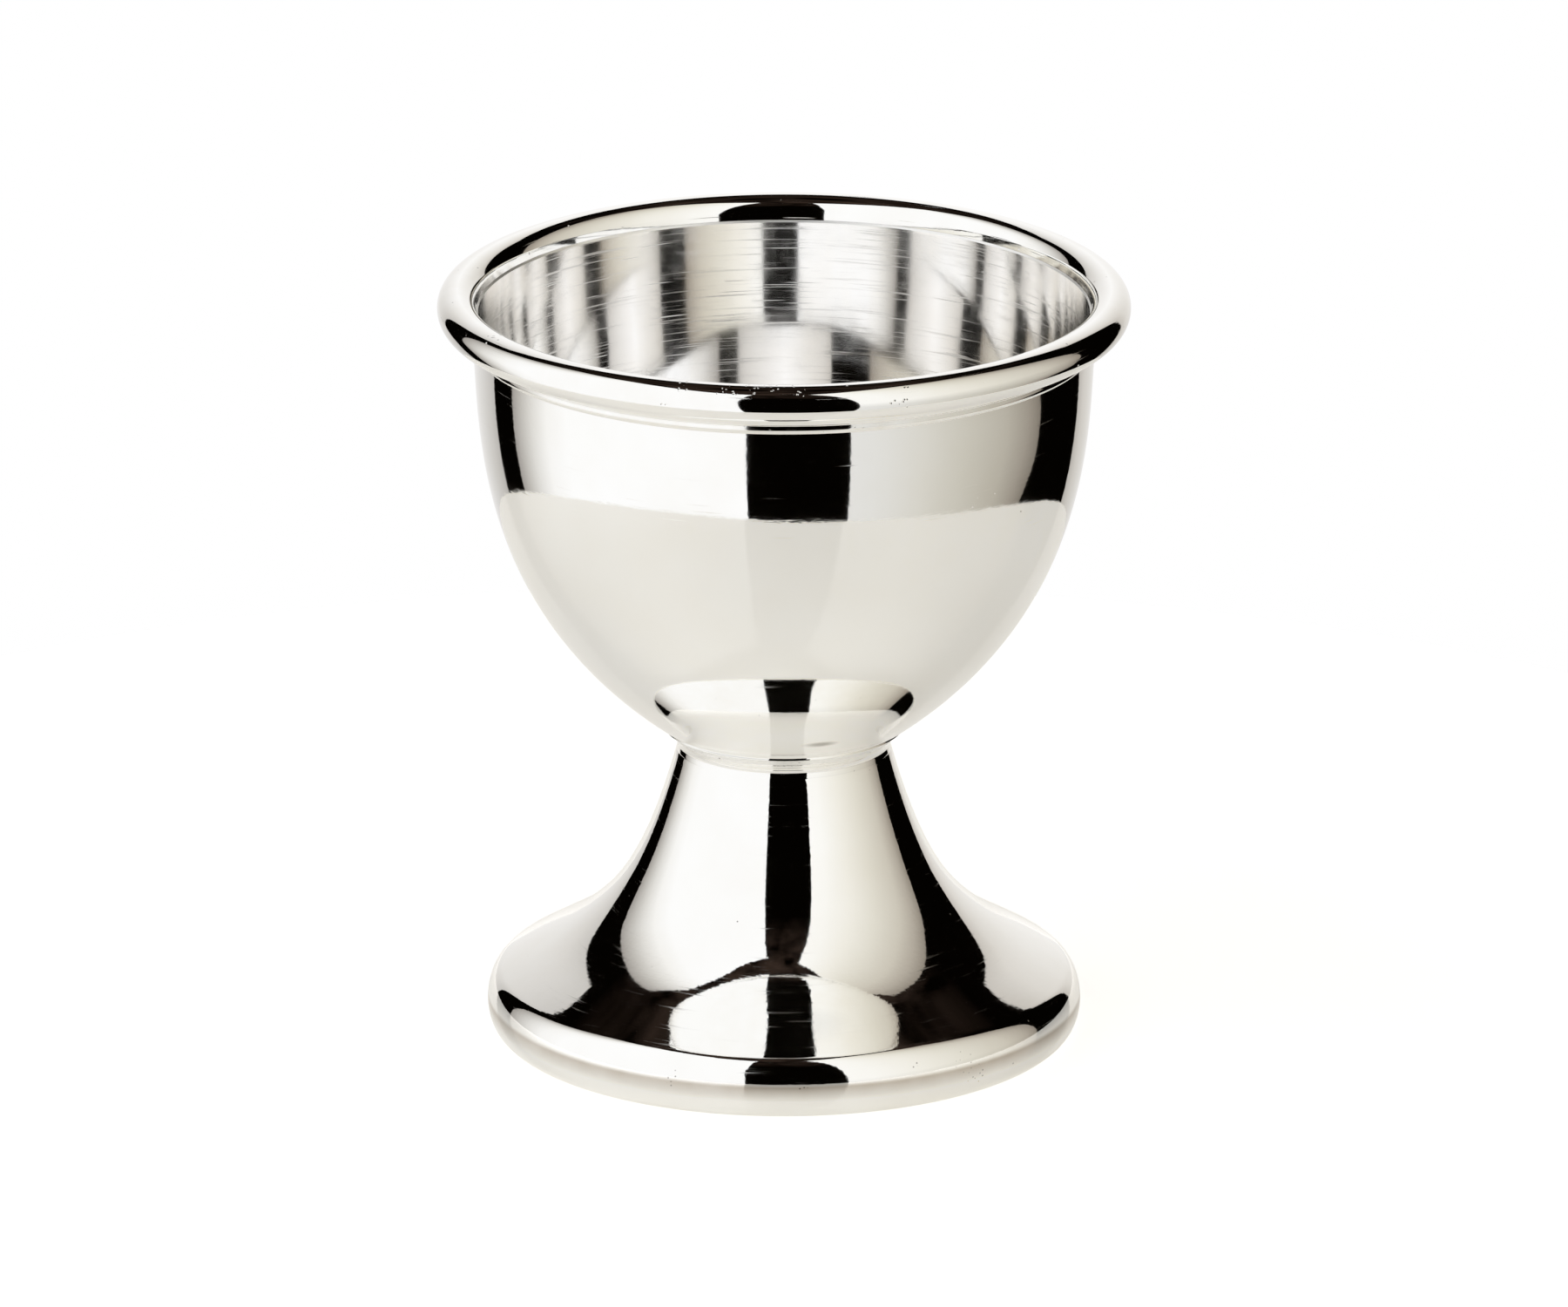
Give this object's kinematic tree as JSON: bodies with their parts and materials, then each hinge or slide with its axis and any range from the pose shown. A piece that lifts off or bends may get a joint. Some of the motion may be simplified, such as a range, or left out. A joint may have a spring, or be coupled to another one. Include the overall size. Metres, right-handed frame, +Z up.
{
  "type": "egg cup",
  "caption": "Footed egg cup in polished plated metal, with a wired rim, a round bowl and a hollow trumpet foot, for serving a boiled egg.",
  "frame": {"origin": "centre of the flat ring that the foot stands on", "axes": "+Z up along the axis of the cup, from the foot to the open mouth; X and Y are alike, because the cup is round"},
  "size_m": [0.05, 0.05, 0.0561],
  "materials": {
    "silver_plate": "silver-plated sheet, mirror-polished outside and satin-spun inside the bowl",
    "silver_wire": "drawn round wire, plated and mirror-polished",
    "silver_solder": "silver solder, dressed by hand, with fine pits"
  },
  "bodies": {
    "root": {"bowl": "silver_plate", "rim_wire": "silver_wire", "rim_solder": "silver_solder", "foot": "silver_plate", "neck_solder": "silver_solder"}
  },
  "joints": []
}
